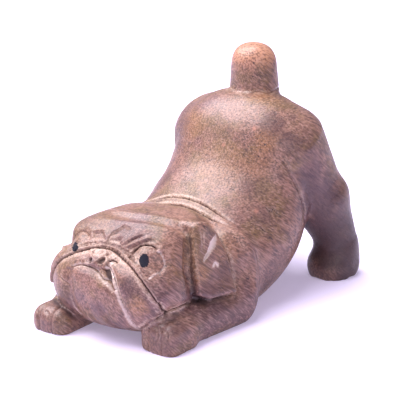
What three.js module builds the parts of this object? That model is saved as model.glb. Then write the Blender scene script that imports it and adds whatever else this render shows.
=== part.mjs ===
import * as THREE from 'three';

// A dog carved from one block of wood, bowing with its rump up and its muzzle near the ground.
// Millimetres: +X is the dog's left, -Y is forward and +Z is up, with the ground at z = 0.
// Each form is a distance function: below 0 is wood, above 0 is air.

// Trunk: a sloping barrel between a chest and a squarish rump
const barrel = { at: [0, 10.5, 21.5], half: [28.3, 34, 22.5], slope: 41 };
const chest = { at: [0, -6, 15], half: [25.5, 18, 17] };
const rump = { at: [0.6, 24.6, 43], half: [26.8, 19, 22.6], square: 2.15 };
const trunkBlend = 8;

// Tail: a docked stump with a worn round tip
const tail = { root: [-0.3, 29.5, 58], aim: [-1.2, 29.5, 90], radius: 9, tipRadius: 6.4, top: 80.5 };
const tailTipRound = 7;
const tailCrease = { height: 65.2, depth: 0.6, width: 2, reach: 2.5 };

// Hind legs, left one; the right one mirrors it
const thigh = { from: [13, 27, 45.5], to: [21.3, 36.6, 29], radius: 16.3, endRadius: 9.8 };
const shank = { from: [21.8, 37.6, 27], to: [26.2, 42.6, 12], radius: 9.9, endRadius: 7 };
const hindFoot = { from: [25.6, 42, 4.5], to: [25.3, 40.5, 3.5], radius: 8.8, endRadius: 8.4 };
const legBlend = 4;
const creaseBlend = 1.2;

// Shoulders, forearms along the ground, and the two front paws
const shoulder = { from: [17, -12, 20], to: [19.5, -12, 9], radius: 10, endRadius: 9 };
const forearm = { from: [20.5, -14, 6], to: [20, -42, 5], radius: 9, endRadius: 6.5 };
const leftPaw = { at: [20, -44, 4], half: [7, 7.5, 6], round: 4 };
const rightPaw = { at: [-18.2, -49.5, 2.9], half: [7.2, 9.6, 5.1], round: 4.5 };
const armBlend = 3;

// Wood left under the throat, between the forearms and flat on the ground
const throat = { at: [0, -22, 5], half: [17, 18, 7], round: 3 };

// Head: a square skull that widens towards the brow, on a heavy muzzle
const headPivot = [0, -30, 10];
const headTilt = 4;
const skull = { at: [0, -30, 21], half: [21.5, 19.5, 15.3], square: 3.4 };
const browFlare = 0.0075;
const muzzle = { at: [0, -43, 15.4], half: [24.3, 13.5, 15.4], square: 2.4, slope: 22 };
const chinClear = { height: 2.2, start: -46, rise: 0.42, round: 4 };
const headBlend = 1.4;

// Ears: hanging flaps, drawn in the side view as (y, z)
const earOutline = [
  [-31.5, 34.6], [-34.6, 24], [-35.2, 14], [-31, 11.6], [-19.6, 10.6],
  [-18.8, 17], [-19.2, 23.5], [-21, 29.5], [-25, 33.8],
];
const ear = { top: 34, face: 22.6, flare: 0.16, thick: 8, round: 1.8, grow: 0.3 };
const earHem = { bulge: 0.9, from: 11, to: 17 };
const earSwing = { slope: 0.1, start: -32, reach: 20, below: 4, full: 18 };
const rightEar = { drop: 2.6, blend: 8 };
const earFold = {
  line: [[-23.5, 31], [-27.5, 27.6], [-31.6, 23.4]],
  depth: 1,
  width: 2.8,
  fade: [0.4, 0.4],
};
const earValley = {
  line: [[-33.5, 31.5], [-36.4, 24], [-37, 14.5]],
  depth: 1.5,
  width: 3,
  fade: [0.3, 0.3],
  side: { from: 17, to: 21 },
};

// Face carving, drawn in the front view as (x, z)
const faceMiddle = 1.2;
const faceStart = { from: 36, to: 40 };
const noseFold = [
  [-21.6, 9.5], [-20.8, 16.5], [-17.3, 22.3], [-12, 26.1], [-5.5, 28.5], [0.6, 29.3],
  [6.5, 28.5], [12.9, 25.9], [18.2, 21.4], [21, 16.3], [21.7, 9.8],
];
const noseFoldTop = [
  [-23.2, 17], [-19.5, 22.8], [-13.5, 27.2], [-6.5, 29.9], [0.8, 30.9],
  [7.5, 29.9], [14.5, 26.9], [19.5, 23.1], [23.3, 17.5],
];
const noseFoldCrest = [
  [-22.5, 15.2], [-18.8, 22.2], [-13, 26.5], [-6.1, 29.1], [0.7, 30.1],
  [7.1, 29.1], [14, 26.3], [19, 22], [22.2, 15.7],
];
const foldCrest = { depth: -1.1, width: 2.3, fade: [0.01, 0.01] };
const foldUnder = { depth: 1.7, width: 1.7, fade: [0.02, 0.02] };
const foldTop = { depth: 0.7, width: 1.6, fade: [0.12, 0.12] };
const foldMiddle = [0, 12];
const rightStep = { depth: 2.2, side: [13.5, 20], over: [0, 3.4], under: 34, fade: 8 };
const mouthLeft = [[4.9, 26.2], [7.9, 23.6], [10, 20], [11.4, 15.8], [12.1, 10.5], [12, 5.5], [11, 1.5]];
const mouthRight = [[-7.2, 23.9], [-8.4, 19.6], [-9.1, 15.3], [-9, 11], [-7.8, 7.5], [-5.5, 5]];
const chinTop = [[-8.4, 22.6], [-6.2, 24.3], [-2.5, 24.9], [1.2, 24.4], [4.6, 22.5], [8.2, 20], [10.2, 18.6]];
const mouthCut = { depth: 1.6, width: 1.8, fade: [0.05, 0.03] };
const noseCorner = { outline: [[5.2, 25.2], [9.4, 20.2], [3.2, 23.3]], depth: 1.1, wall: [-0.9, 0.6] };
const flewHem = {
  line: [[12, 4.4], [14.4, 6.2], [16.8, 7.9], [18.8, 9.5], [21.6, 10]],
  depth: 0.9,
  width: 1.8,
  fade: [0.1, 0.1],
};
const jawEdge = {
  line: [[-49.8, 9.6], [-48, 11], [-45.7, 12], [-41.5, 11.9], [-37.1, 11.2], [-34.4, 9.7]],
  depth: 0.9,
  width: 2.2,
  fade: [0.1, 0.2],
  side: { from: 17, to: 20 },
};
const chin = { at: [1.5, 12], half: [11.5, 13], height: 1.3 };
const chinFlutes = { at: [-1.6, 4.6], lean: 0.12, depth: 0.5, width: 2.2, middle: 8, half: 8 };
const flews = { left: 15.6, right: -13.8, at: 15, half: [6, 9], height: 0.9 };
const nose = { at: [0.9, 27], half: [5, 2.6], height: 1.2 };
const nostrils = { at: [[-1.5, 26.5], [3.2, 26.9]], half: [1.8, 1.4], depth: 1.2 };
const eye = { side: 13.2, height: 27.5, radius: 3.9, ball: 0.6 };
const eyeRing = { depth: 1.1, width: 1.5 };
const eyeSocket = { depth: 0.4, width: 2.2 };
const eyeFloor = { height: 30.6, drop: 0.022, fade: [-1, 0.6] };
const frown = {
  line: [[4.2, 31.2], [6.2, 33.2], [9.2, 34.3], [13, 34.2]],
  depth: -0.8,
  width: 1.8,
  fade: [0.1, 0.3],
};
const browNotches = [
  [[0.2, 32.2], [2.2, 34.9], [4.4, 34.6], [3.9, 32.3]],
  [[-6.6, 32.9], [-3.2, 33.4], [-1.6, 30.9], [-5.2, 30.6]],
];
const browNotch = { depth: 0.8, wall: [-0.9, 0.7] };
const browBands = { at: [-41.5, -34], bow: 0.012, height: 0.55, width: 2.6 };
const browHollow = { at: -37.8, depth: 0.55, width: 3.4 };
const browTop = { from: 29, to: 33 };

// Carving on the body; side view lines are (y, z)
const neckCrease = { at: -10, middle: -1, depth: 1.1, width: 3, reach: 24, from: 26, to: 30 };
const bodySide = { from: 12, to: 17 };
const shoulderRim = {
  line: [[-11, 30.8], [-10.6, 26], [-9.6, 20], [-9.8, 14], [-12.5, 8]],
  depth: -0.9,
  width: 3.6,
  fade: [0.2, 0.15],
};
const earScoop = {
  line: [[-15.5, 29], [-14.8, 24], [-14, 18], [-14.5, 13]],
  depth: 0.8,
  width: 4.2,
  fade: [0.2, 0.3],
};
const flankCut = {
  line: [[12.6, 49.5], [14.6, 43.5], [17.2, 37], [20, 30.5], [23.4, 23.5]],
  depth: 0.9,
  width: 3,
  fade: [0.35, 0.05],
};
const flankHollow = {
  line: [[17.5, 49.5], [19.4, 43.5], [21.6, 37], [24.3, 30.5]],
  depth: 0.7,
  width: 4.5,
  fade: [0.35, 0.2],
};
const toeCuts = { apart: 5, length: 7, depth: 1, width: 1.7, fadeUp: 2, top: 10 };

// Facets: about 1.1 mm at the face, growing to about 3 mm at the rump
const facet = { fine: 0.3, coarse: 3.45, centre: [1, -50, 21], spread: 54, snap: 0.55 };
const footFlat = 0.35;
const seek = { steps: 30, share: 0.7 };
const slide = { steps: 6, share: 0.8, reach: 0.3 };
const evening = { passes: 3, share: 0.4 };

const along = (a, b, t) => a + (b - a) * t;
const clamp = (value) => Math.min(1, Math.max(0, value));

// Smooth step from 0 at a to 1 at b
function ramp(value, a, b) {
  const t = clamp((value - a) / (b - a));
  return t * t * (3 - 2 * t);
}

// A soft mound: 1 at the middle, 0 from one width out
function mound(t) {
  const inside = Math.max(0, 1 - t * t);
  return inside * inside;
}

// Union of two forms with a soft valley
function join(a, b, soft) {
  const h = Math.max(soft - Math.abs(a - b), 0) / soft;
  return Math.min(a, b) - h * h * soft * 0.25;
}

// Common part of two forms with a soft edge
const trim = (a, b, soft) => -join(-a, -b, soft);

// Turn the (u, v) plane by an angle in degrees
function turn(u, v, degrees) {
  const angle = THREE.MathUtils.degToRad(degrees);
  const c = Math.cos(angle);
  const s = Math.sin(angle);
  return [u * c + v * s, v * c - u * s];
}

// Rounded lump; square is 2 for an ellipsoid and more for a boxier one, slope lifts its rear
function lump([x, y, z], { at, half, square = 2, slope = 0 }) {
  const [dy, dz] = turn(y - at[1], z - at[2], slope);
  const shares = [Math.abs(x - at[0]) / half[0], Math.abs(dy) / half[1], Math.abs(dz) / half[2]];
  const size = Math.max(1e-6, shares.reduce((sum, s) => sum + s ** square, 0) ** (1 / square));
  const slopeLength = Math.hypot(...shares.map((s, i) => (s / size) ** (square - 1) / half[i]));
  return (size - 1) / Math.max(slopeLength, 1e-6);
}

// Tapering round limb between two points
function limb([x, y, z], { from, to, radius, endRadius }) {
  const axis = [to[0] - from[0], to[1] - from[1], to[2] - from[2]];
  const arm = [x - from[0], y - from[1], z - from[2]];
  const dot = arm[0] * axis[0] + arm[1] * axis[1] + arm[2] * axis[2];
  const t = clamp(dot / (axis[0] ** 2 + axis[1] ** 2 + axis[2] ** 2));
  const gap = Math.hypot(arm[0] - t * axis[0], arm[1] - t * axis[1], arm[2] - t * axis[2]);
  return gap - along(radius, endRadius, t);
}

// Block with rounded edges
function block(p, { at, half, round }) {
  const out = p.map((value, i) => Math.abs(value - at[i]) - half[i] + round);
  const outside = Math.hypot(...out.map((value) => Math.max(value, 0)));
  return outside + Math.min(Math.max(...out), 0) - round;
}

// A smooth line through a few points of a flat view
function drawn(points) {
  const curve = new THREE.SplineCurve(points.map(([u, v]) => new THREE.Vector2(u, v)));
  return curve.getPoints((points.length - 1) * 5).map((point) => [point.x, point.y]);
}

// How far a spot is from a drawn line, how far along it from 0 to 1, and the line's nearest spot
function toLine(u, v, line) {
  let best = { gap: Infinity };
  for (let i = 1; i < line.length; i += 1) {
    const [au, av] = line[i - 1];
    const du = line[i][0] - au;
    const dv = line[i][1] - av;
    const t = clamp(((u - au) * du + (v - av) * dv) / (du * du + dv * dv));
    const gap = Math.hypot(u - au - t * du, v - av - t * dv);
    if (gap < best.gap) {
      best = { gap, share: (i - 1 + t) / (line.length - 1), at: [au + t * du, av + t * dv] };
    }
  }
  return best;
}

// Depth of a stroke cut along a drawn line; it fades out over the shares given for its two ends
function stroke(u, v, line, { depth, width, fade }) {
  const { gap, share } = toLine(u, v, line);
  return depth * mound(gap / width) * clamp(share / fade[0]) * clamp((1 - share) / fade[1]);
}

// Signed distance to a closed outline in a flat view
function toOutline(u, v, outline) {
  let gap = Infinity;
  let inside = false;
  outline.forEach(([au, av], i) => {
    const [bu, bv] = outline[(i + 1) % outline.length];
    const du = bu - au;
    const dv = bv - av;
    const t = clamp(((u - au) * du + (v - av) * dv) / (du * du + dv * dv));
    gap = Math.min(gap, Math.hypot(u - au - t * du, v - av - t * dv));
    if ((av > v) !== (bv > v) && u < au + ((v - av) / dv) * du) {
      inside = !inside;
    }
  });
  return inside ? -gap : gap;
}

// Lines are smoothed once, here
const lines = Object.fromEntries(Object.entries({
  earFold: earFold.line,
  earValley: earValley.line,
  noseFold,
  noseFoldTop,
  noseFoldCrest,
  mouthLeft,
  mouthRight,
  chinTop,
  flewHem: flewHem.line,
  jawEdge: jawEdge.line,
  frown: frown.line,
  shoulderRim: shoulderRim.line,
  earScoop: earScoop.line,
  flankCut: flankCut.line,
  flankHollow: flankHollow.line,
}).map(([name, points]) => [name, drawn(points)]));

// Trunk, hind legs, tail, shoulders, forearms and paws
function bodyForm(p) {
  const both = [Math.abs(p[0]), p[1], p[2]];
  let form = join(lump(p, barrel), lump(p, chest), trunkBlend);
  form = join(form, lump(p, rump), trunkBlend);
  let leg = join(limb(both, thigh), limb(both, shank), legBlend);
  leg = join(leg, limb(both, hindFoot), legBlend);
  form = join(form, leg, creaseBlend);
  const stump = limb(p, { from: tail.root, to: tail.aim, radius: tail.radius, endRadius: tail.tipRadius });
  form = join(form, trim(stump, p[2] - tail.top, tailTipRound), creaseBlend);
  form = join(form, limb(both, shoulder), legBlend);
  form = join(form, block(p, throat), armBlend);
  form = join(form, limb(both, forearm), armBlend);
  return join(form, Math.min(block(p, leftPaw), block(p, rightPaw)), armBlend);
}

// The two ear flaps, each with a fold, in the head's own frame
function earForm(x, y, z) {
  const height = z + rightEar.drop * ramp(-x, 0, rightEar.blend);
  const below = ear.top - height;
  const behind = Math.min(Math.max(y - earSwing.start, 0), earSwing.reach);
  const swing = earSwing.slope * behind * clamp((below - earSwing.below) / earSwing.full);
  const hem = earHem.bulge * ramp(-height, -earHem.to, -earHem.from);
  const outer = ear.face + hem + ear.flare * below + swing;
  const flap = toOutline(y, height, earOutline) - ear.grow;
  const plate = Math.abs(Math.abs(x) - outer + ear.thick / 2) - ear.thick / 2;
  const form = trim(flap, plate, ear.round);
  return form + stroke(y, height, lines.earFold, earFold);
}

// Skull, muzzle and ears
function headForm([x, y, z]) {
  const flare = 1 - browFlare * (y - headPivot[1]);
  let form = lump([x / flare, y, z], skull);
  form = join(form, lump([x, y, z], muzzle), headBlend);
  const underChin = chinClear.height - chinClear.rise * (y - chinClear.start) - z;
  form = trim(form, underChin, chinClear.round);
  form = join(form, earForm(x, y, z), headBlend / 2);
  const beside = ramp(Math.abs(x), earValley.side.from, earValley.side.to);
  return form + stroke(y, z, lines.earValley, earValley) * beside;
}

// Folds, mouth, chin, nose and eyes: how deep the face is cut at a spot
function faceCarving([x, y, z]) {
  const front = ramp(-y, faceStart.from, faceStart.to);
  if (front === 0) {
    return 0;
  }
  const side = Math.abs(x - faceMiddle);
  let depth = stroke(x, z, lines.noseFoldCrest, foldCrest);
  const crest = toLine(x, z, lines.noseFoldCrest).at;
  const fromMiddle = ([u, v]) => Math.hypot(u - foldMiddle[0], v - foldMiddle[1]);
  const over = ramp(fromMiddle([x, z]) - fromMiddle(crest), ...rightStep.over);
  const onRight = ramp(-x, ...rightStep.side) * ramp(rightStep.under - z, 0, rightStep.fade);
  depth += rightStep.depth * over * onRight;
  depth += stroke(x, z, lines.noseFold, foldUnder);
  depth += stroke(x, z, lines.noseFoldTop, foldTop);
  for (const name of ['mouthLeft', 'mouthRight', 'chinTop']) {
    depth += stroke(x, z, lines[name], mouthCut);
  }
  depth += stroke(x, z, lines.flewHem, flewHem);
  depth += noseCorner.depth * ramp(-toOutline(x, z, noseCorner.outline), ...noseCorner.wall);
  depth -= chin.height * mound((x - chin.at[0]) / chin.half[0]) * mound((z - chin.at[1]) / chin.half[1]);
  for (const at of chinFlutes.at) {
    const across = x - at + chinFlutes.lean * (z - chin.at[1]);
    const up = mound((z - chinFlutes.middle) / chinFlutes.half);
    depth += chinFlutes.depth * mound(across / chinFlutes.width) * up;
  }
  for (const at of [flews.left, flews.right]) {
    depth -= flews.height * mound((x - at) / flews.half[0]) * mound((z - flews.at) / flews.half[1]);
  }
  depth -= nose.height * mound((x - nose.at[0]) / nose.half[0]) * mound((z - nose.at[1]) / nose.half[1]);
  for (const [u, v] of nostrils.at) {
    depth += nostrils.depth * mound(Math.hypot((x - u) / nostrils.half[0], (z - v) / nostrils.half[1]));
  }
  return (depth + eyeCarving(x, side, z)) * front;
}

// Eye rings and balls, the frown over them and the two notches between them
function eyeCarving(x, side, z) {
  const reach = Math.hypot(side - eye.side, z - eye.height);
  const above = ramp(z - eyeFloor.height + eyeFloor.drop * side * side, ...eyeFloor.fade);
  let depth = eyeRing.depth * mound((reach - eye.radius) / eyeRing.width);
  depth += eyeSocket.depth * mound((reach - eye.radius) / eyeSocket.width);
  depth -= eye.ball * mound(reach / eye.radius);
  depth *= above;
  depth += stroke(side, z, lines.frown, frown);
  for (const outline of browNotches) {
    depth += browNotch.depth * ramp(-toOutline(x, z, outline), ...browNotch.wall);
  }
  return depth;
}

// Two raised bands with a hollow between them across the top of the head, and the jaw's lower edge
function browCarving([x, y, z]) {
  const bow = browBands.bow * x * x;
  let depth = browHollow.depth * mound((y - browHollow.at - bow) / browHollow.width);
  for (const at of browBands.at) {
    depth -= browBands.height * mound((y - at - bow) / browBands.width);
  }
  const jaw = ramp(Math.abs(x), jawEdge.side.from, jawEdge.side.to);
  return depth * ramp(z, browTop.from, browTop.to) + stroke(y, z, lines.jawEdge, jawEdge) * jaw;
}

// Two cuts across the front of a paw, between its toes
function toeCarving([x, y, z], paw) {
  const front = paw.at[1] - paw.half[1];
  const over = ramp(front + toeCuts.length - y, 0, toeCuts.length / 2) * ramp(z, -1, toeCuts.fadeUp);
  const fromCut = Math.abs(Math.abs(x - paw.at[0]) - toeCuts.apart / 2);
  const onPaw = ramp(paw.half[0] - Math.abs(x - paw.at[0]), 0, 1);
  const underHead = ramp(toeCuts.top - z, 0, toeCuts.fadeUp);
  return toeCuts.depth * mound(fromCut / toeCuts.width) * over * onPaw * underHead;
}

// Neck crease, shoulder rim, toes, flank and tail creases
function bodyCarving([x, y, z]) {
  let depth = toeCarving([x, y, z], leftPaw) + toeCarving([x, y, z], rightPaw);
  const acrossNeck = mound((x - neckCrease.middle) / neckCrease.reach);
  const onNeck = acrossNeck * ramp(z, neckCrease.from, neckCrease.to);
  depth += neckCrease.depth * mound((y - neckCrease.at) / neckCrease.width) * onNeck;
  const onSide = ramp(Math.abs(x), bodySide.from, bodySide.to);
  depth += stroke(y, z, lines.shoulderRim, shoulderRim) * onSide;
  depth += stroke(y, z, lines.earScoop, earScoop) * onSide;
  depth += stroke(y, z, lines.flankCut, flankCut) * onSide;
  depth += stroke(y, z, lines.flankHollow, flankHollow) * onSide;
  const fromTail = Math.hypot(x - tail.root[0], y - tail.root[1]) - tail.radius;
  const crease = mound((z - tailCrease.height) / tailCrease.width) * mound(fromTail / tailCrease.reach);
  return depth + tailCrease.depth * crease;
}

// A point as seen in the tilted head's own frame
function inHead(p) {
  const [x, z] = turn(p[0] - headPivot[0], p[2] - headPivot[2], headTilt);
  return [x + headPivot[0], p[1], z + headPivot[2]];
}

// The roughed-out figure, before its carving
const roughForm = (p) => Math.max(join(bodyForm(p), headForm(inHead(p)), headBlend), -p[2]);

// The finished figure
function dogForm(p) {
  const h = inHead(p);
  const head = headForm(h) + faceCarving(h) + browCarving(h);
  const form = join(bodyForm(p), head, headBlend) + bodyCarving(p);
  return Math.max(form, -p[2]);
}

// The facet grid: even steps in its own space, drawn together around the face
function gridPoint([u, v, w]) {
  const away = [u - facet.centre[0], v - facet.centre[1], w - facet.centre[2]];
  const far = (away[0] ** 2 + away[1] ** 2 + away[2] ** 2) / facet.spread ** 2;
  const scale = along(facet.fine, 1, far / (1 + far));
  return away.map((value, i) => facet.centre[i] + value * scale);
}

// The grid spot that lands on a point
function gridSpot(point) {
  const away = point.map((value, i) => value - facet.centre[i]);
  let stretch = 1;
  for (let i = 0; i < seek.steps; i += 1) {
    const far = (Math.hypot(...away) * stretch) ** 2 / facet.spread ** 2;
    stretch = along(stretch, 1 / along(facet.fine, 1, far / (1 + far)), seek.share);
  }
  return away.map((value, i) => facet.centre[i] + value * stretch);
}

// Grid size that holds the whole figure
const margin = 4;
const room = {
  low: [
    -(hindFoot.from[0] + hindFoot.radius + margin),
    rightPaw.at[1] - rightPaw.half[1] - margin,
    -margin,
  ],
  high: [
    hindFoot.from[0] + hindFoot.radius + margin,
    hindFoot.from[1] + hindFoot.radius + margin,
    tail.top + margin,
  ],
};
const spots = [];
for (const x of [room.low[0], 0, room.high[0]]) {
  for (const y of [room.low[1], facet.centre[1], 0, room.high[1]]) {
    for (const z of [room.low[2], facet.centre[2], room.high[2]]) {
      spots.push(gridSpot([x, y, z]));
    }
  }
}
const gridLow = [0, 1, 2].map((i) => Math.min(...spots.map((spot) => spot[i])));
const gridHigh = [0, 1, 2].map((i) => Math.max(...spots.map((spot) => spot[i])));
const count = gridLow.map((low, i) => Math.ceil((gridHigh[i] - low) / facet.coarse) + 1);
const cornerIndex = (i, j, k) => (k * count[1] + j) * count[0] + i;

// Distance at every grid corner
const corners = [];
for (let k = 0; k < count[2]; k += 1) {
  for (let j = 0; j < count[1]; j += 1) {
    for (let i = 0; i < count[0]; i += 1) {
      const at = gridPoint([i, j, k].map((step, n) => gridLow[n] + step * facet.coarse));
      corners.push({ at, value: dogForm(at) });
    }
  }
}

// Straight out of the roughed-out figure
function outward(p) {
  const slope = [0, 1, 2].map((i) => {
    const ahead = p.map((value, n) => value + (n === i ? slide.reach : 0));
    const behind = p.map((value, n) => value - (n === i ? slide.reach : 0));
    return roughForm(ahead) - roughForm(behind);
  });
  const size = Math.max(1e-6, Math.hypot(...slope));
  return slope.map((value) => value / size);
}

// Slides a point straight in or out onto the surface, and keeps the underside flat
function ontoSurface(start) {
  const out = outward(start);
  let p = start;
  for (let i = 0; i < slide.steps; i += 1) {
    const back = slide.share * dogForm(p);
    p = p.map((value, n) => value - back * out[n]);
  }
  return p[2] < footFlat ? [p[0], p[1], 0] : p;
}

// The twelve edges of a grid cell, as pairs of its eight corners
const cellCorners = [0, 1, 2, 3, 4, 5, 6, 7].map((n) => [n & 1, (n >> 1) & 1, (n >> 2) & 1]);
const cellEdges = [];
for (let a = 0; a < 8; a += 1) {
  for (const bit of [1, 2, 4]) {
    if (!(a & bit)) {
      cellEdges.push([a, a | bit]);
    }
  }
}

// Corners of the cell that are in the wood and joined to each other by its edges
function woodGroups(inWood) {
  const group = inWood.map((solid, n) => (solid ? n : -1));
  for (let pass = 0; pass < 4; pass += 1) {
    for (const [a, b] of cellEdges) {
      if (inWood[a] && inWood[b]) {
        group[a] = Math.min(group[a], group[b]);
        group[b] = group[a];
      }
    }
  }
  return group;
}

// One vertex in each cell for each patch of surface that passes through it
const vertices = [];
const cellVertices = new Map();
for (let k = 0; k < count[2] - 1; k += 1) {
  for (let j = 0; j < count[1] - 1; j += 1) {
    for (let i = 0; i < count[0] - 1; i += 1) {
      const cell = cellCorners.map(([a, b, c]) => corners[cornerIndex(i + a, j + b, k + c)]);
      const inWood = cell.map(({ value }) => value < 0);
      if (inWood.every((solid) => solid === inWood[0])) {
        continue;
      }
      const group = woodGroups(inWood);
      const sums = new Map();
      for (const [a, b] of cellEdges) {
        if (inWood[a] !== inWood[b]) {
          const t = cell[a].value / (cell[a].value - cell[b].value);
          const key = Math.max(group[a], group[b]);
          const sum = sums.get(key) ?? { at: [0, 0, 0], n: 0 };
          sum.at = sum.at.map((value, n) => value + along(cell[a].at[n], cell[b].at[n], t));
          sum.n += 1;
          sums.set(key, sum);
        }
      }
      const named = new Map();
      for (const [key, sum] of sums) {
        named.set(key, vertices.length);
        vertices.push(ontoSurface(sum.at.map((value) => value / sum.n)));
      }
      cellVertices.set(cornerIndex(i, j, k), { group, named });
    }
  }
}

// Two triangles for a four-sided facet, split where its middle lies nearer the surface
function splitFacet(quad) {
  const middle = (a, b) => vertices[a].map((value, n) => (value + vertices[b][n]) / 2);
  const first = Math.abs(dogForm(middle(quad[0], quad[2])));
  const second = Math.abs(dogForm(middle(quad[1], quad[3])));
  const [a, b, c, d] = first <= second ? quad : [quad[1], quad[2], quad[3], quad[0]];
  return [[a, b, c], [a, c, d]].filter((corner) => new Set(corner).size === 3);
}

// A facet around every grid edge that leaves the wood
const facets = [];
for (let axis = 0; axis < 3; axis += 1) {
  const [p, q] = [(axis + 1) % 3, (axis + 2) % 3];
  for (let k = 1; k < count[2] - 1; k += 1) {
    for (let j = 1; j < count[1] - 1; j += 1) {
      for (let i = 1; i < count[0] - 1; i += 1) {
        const start = [i, j, k];
        const finish = start.map((step, n) => step + (n === axis ? 1 : 0));
        const solid = corners[cornerIndex(...start)].value < 0;
        if (solid === corners[cornerIndex(...finish)].value < 0) {
          continue;
        }
        const woodEnd = solid ? start : finish;
        const quad = [[0, 0], [1, 0], [1, 1], [0, 1]].map(([back, down]) => {
          const cell = start.map((step, n) => step - (n === p ? back : 0) - (n === q ? down : 0));
          const { group, named } = cellVertices.get(cornerIndex(...cell));
          const local = woodEnd.reduce((sum, step, n) => sum + ((step - cell[n]) << n), 0);
          return named.get(group[local]);
        });
        facets.push(solid ? quad : quad.reverse());
      }
    }
  }
}

// The round cut of each eye, as a line
const eyeRound = (sign) => Array.from({ length: 25 }, (_, i) => {
  const angle = (i / 24) * 2 * Math.PI;
  return [
    faceMiddle + sign * (eye.side + eye.radius * Math.cos(angle)),
    eye.height + eye.radius * Math.sin(angle),
  ];
});

// Moves a vertex that is close to a main cut of the face to the bottom of that cut
const mainCuts = [
  lines.noseFold,
  lines.mouthLeft,
  lines.mouthRight,
  lines.chinTop,
  eyeRound(1),
  eyeRound(-1),
];
function intoCut(p) {
  const [x, y, z] = inHead(p);
  if (y > -faceStart.to || p[2] === 0) {
    return p;
  }
  for (const line of mainCuts) {
    const { gap, share, at } = toLine(x, z, line);
    if (gap < facet.snap && share > 0 && share < 1) {
      const [u, w] = turn(at[0] - headPivot[0], at[1] - headPivot[2], -headTilt);
      return [u + headPivot[0], y, w + headPivot[2]];
    }
  }
  return p;
}

// Evens out the facets: each vertex moves towards the middle of its neighbours
for (let pass = 0; pass < evening.passes; pass += 1) {
  const sums = vertices.map(() => [0, 0, 0, 0]);
  for (const quad of facets) {
    quad.forEach((vertex, i) => {
      const next = quad[(i + 1) % 4];
      vertices[next].forEach((value, n) => { sums[vertex][n] += value; });
      vertices[vertex].forEach((value, n) => { sums[next][n] += value; });
      sums[vertex][3] += 1;
      sums[next][3] += 1;
    });
  }
  sums.forEach((sum, i) => {
    const moved = vertices[i].map((value, n) => along(value, sum[n] / sum[3], evening.share));
    vertices[i] = ontoSurface(vertices[i][2] === 0 ? [moved[0], moved[1], 0] : intoCut(moved));
  });
}
const triangles = facets.flatMap(splitFacet).flat();

// The origin is the middle of the figure's underside
const geometry = new THREE.BufferGeometry();
geometry.setAttribute('position', new THREE.Float32BufferAttribute(vertices.flat(), 3));
geometry.setIndex(triangles);
geometry.computeBoundingBox();
const box = geometry.boundingBox;
geometry.translate(-(box.min.x + box.max.x) / 2, -(box.min.y + box.max.y) / 2, -box.min.z);

const wood = new THREE.MeshStandardMaterial({ color: 0x8f7264, roughness: 0.5, metalness: 0 });
const dog = new THREE.Mesh(geometry, wood);
dog.name = 'dog';

const figure = new THREE.Group();
figure.add(dog);

export default figure;
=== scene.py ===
import math

import bpy
import numpy as np
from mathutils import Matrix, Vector, noise


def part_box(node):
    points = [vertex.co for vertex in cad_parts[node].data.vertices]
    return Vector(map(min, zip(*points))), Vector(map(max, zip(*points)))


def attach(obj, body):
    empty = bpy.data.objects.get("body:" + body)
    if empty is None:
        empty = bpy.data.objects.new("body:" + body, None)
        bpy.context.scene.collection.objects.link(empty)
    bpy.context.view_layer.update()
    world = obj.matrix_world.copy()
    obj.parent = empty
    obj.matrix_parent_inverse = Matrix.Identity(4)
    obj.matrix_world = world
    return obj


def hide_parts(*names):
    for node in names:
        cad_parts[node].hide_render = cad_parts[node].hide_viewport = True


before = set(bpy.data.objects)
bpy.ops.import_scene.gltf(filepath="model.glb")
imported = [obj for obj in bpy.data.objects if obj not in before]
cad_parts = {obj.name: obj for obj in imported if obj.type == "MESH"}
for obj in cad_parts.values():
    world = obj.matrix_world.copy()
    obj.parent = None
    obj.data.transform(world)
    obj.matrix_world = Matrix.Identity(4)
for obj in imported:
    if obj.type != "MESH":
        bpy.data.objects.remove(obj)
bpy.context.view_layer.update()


# The block of wood, roughed out
# The figurine is one block of pinkish brown hardwood. The carver first saws and rasps out the
# dog's main masses: trunk, legs, tail and head. Millimetres, as distances: below 0 is wood.

CARVER_TO_FRAME = np.array([0.0081, 4.2098, 0.0])
MM_PER_METRE = 1000.0


def step(value, start, end):
    """Rises smoothly from 0 at start to 1 at end."""
    t = np.clip((value - start) / (end - start), 0.0, 1.0)
    return t * t * (3.0 - 2.0 * t)


def mound(t):
    """A soft mound: 1 at the middle, 0 from one width out."""
    inside = np.maximum(0.0, 1.0 - t * t)
    return inside * inside


def meld(a, b, soft):
    """Two forms run together over a soft valley."""
    h = np.maximum(soft - np.abs(a - b), 0.0) / soft
    return np.minimum(a, b) - h * h * soft * 0.25


def shear_off(a, b, soft):
    """What two forms have in common, with a soft edge."""
    return -meld(-a, -b, soft)


def lump(p, at, half, square=2.0, slope=0.0):
    """A rounded lump; square is 2 for an egg and more for a boxier one, slope lifts its rear."""
    turn = math.radians(slope)
    x, y, z = (p - np.array(at)).T
    shares = np.abs([
        x / half[0],
        (y * math.cos(turn) + z * math.sin(turn)) / half[1],
        (z * math.cos(turn) - y * math.sin(turn)) / half[2],
    ])
    size = np.maximum(1e-6, (shares ** square).sum(0) ** (1.0 / square))
    steep = np.sqrt((((shares / size) ** (square - 1.0) / np.array(half)[:, None]) ** 2).sum(0))
    return (size - 1.0) / np.maximum(steep, 1e-6)


def limb(p, start, end, radius, end_radius):
    """A round limb that tapers between two points."""
    axis = np.array(end, float) - np.array(start, float)
    arm = p - np.array(start, float)
    t = np.clip(arm @ axis / (axis @ axis), 0.0, 1.0)
    return np.sqrt(((arm - t[:, None] * axis) ** 2).sum(1)) - (radius + (end_radius - radius) * t)


def rounded_block(p, at, half, edge):
    """A block with rounded edges."""
    out = np.abs(p - np.array(at)) - (np.array(half) - edge)
    outside = np.sqrt((np.maximum(out, 0.0) ** 2).sum(1))
    return outside + np.minimum(out.max(1), 0.0) - edge


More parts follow.
